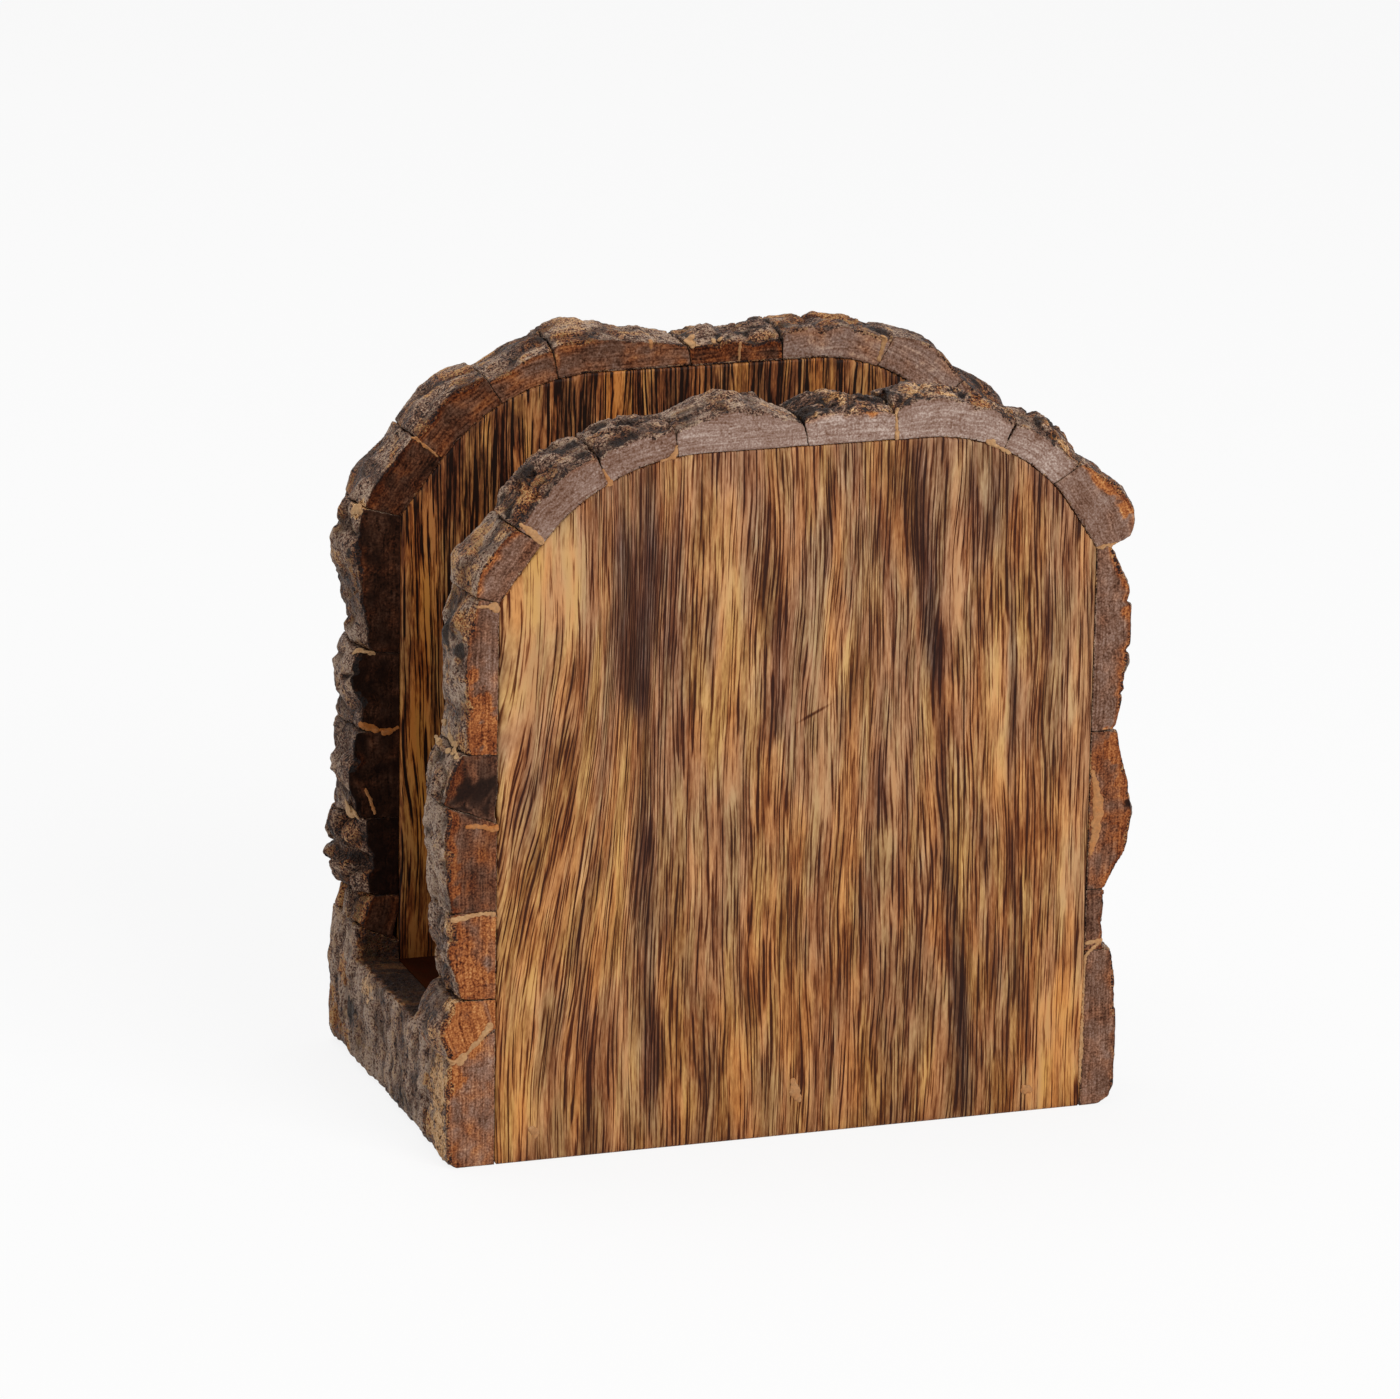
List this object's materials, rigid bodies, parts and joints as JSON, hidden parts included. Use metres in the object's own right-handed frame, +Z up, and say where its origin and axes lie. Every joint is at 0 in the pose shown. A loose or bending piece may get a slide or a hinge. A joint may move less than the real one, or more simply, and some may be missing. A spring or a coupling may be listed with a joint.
{
  "type": "napkin holder",
  "caption": "Upright wooden napkin holder: round-shouldered boards edged with rough bark stand either side of an open slot on a base block.",
  "frame": {"origin": "middle of the underside, where the base block rests on the table", "axes": "+Z up, X along the boards, +Y from the front board to the back board"},
  "size_m": [0.139, 0.0776, 0.1424],
  "materials": {
    "board_wood": "oiled satin, vertical grain with dark streaks",
    "base_wood": "oiled satin",
    "bark": "rough bark outside, sanded and oiled on the cut faces",
    "filler": "matt wood filler",
    "nail_steel": "bright wire"
  },
  "bodies": {
    "root": {"front_board": "board_wood", "back_board": "board_wood", "base_block": "base_wood", "left_base_bark": "bark", "right_base_bark": "bark", "front_bark_left_1": "bark", "front_bark_left_2": "bark", "front_bark_left_3": "bark", "front_bark_left_4": "bark", "front_bark_left_5": "bark", "front_bark_top_1": "bark", "front_bark_top_2": "bark", "front_bark_top_3": "bark", "front_bark_top_4": "bark", "front_bark_top_5": "bark", "front_bark_top_6": "bark", "front_bark_top_7": "bark", "front_bark_top_8": "bark", "front_bark_right_1": "bark", "front_bark_right_2": "bark", "front_bark_right_3": "bark", "back_bark_left_1": "bark", "back_bark_left_2": "bark", "back_bark_left_3": "bark", "back_bark_left_4": "bark", "back_bark_left_5": "bark", "back_bark_top_1": "bark", "back_bark_top_2": "bark", "back_bark_top_3": "bark", "back_bark_top_4": "bark", "back_bark_top_5": "bark", "back_bark_top_6": "bark", "back_bark_top_7": "bark", "back_bark_top_8": "bark", "back_bark_right_1": "bark", "back_bark_right_2": "bark", "back_bark_right_3": "bark", "front_joint_filler": "filler", "back_joint_filler": "filler", "front_nails": "nail_steel", "back_nails": "nail_steel", "front_nail_filler": "filler", "back_nail_filler": "filler"}
  },
  "joints": []
}
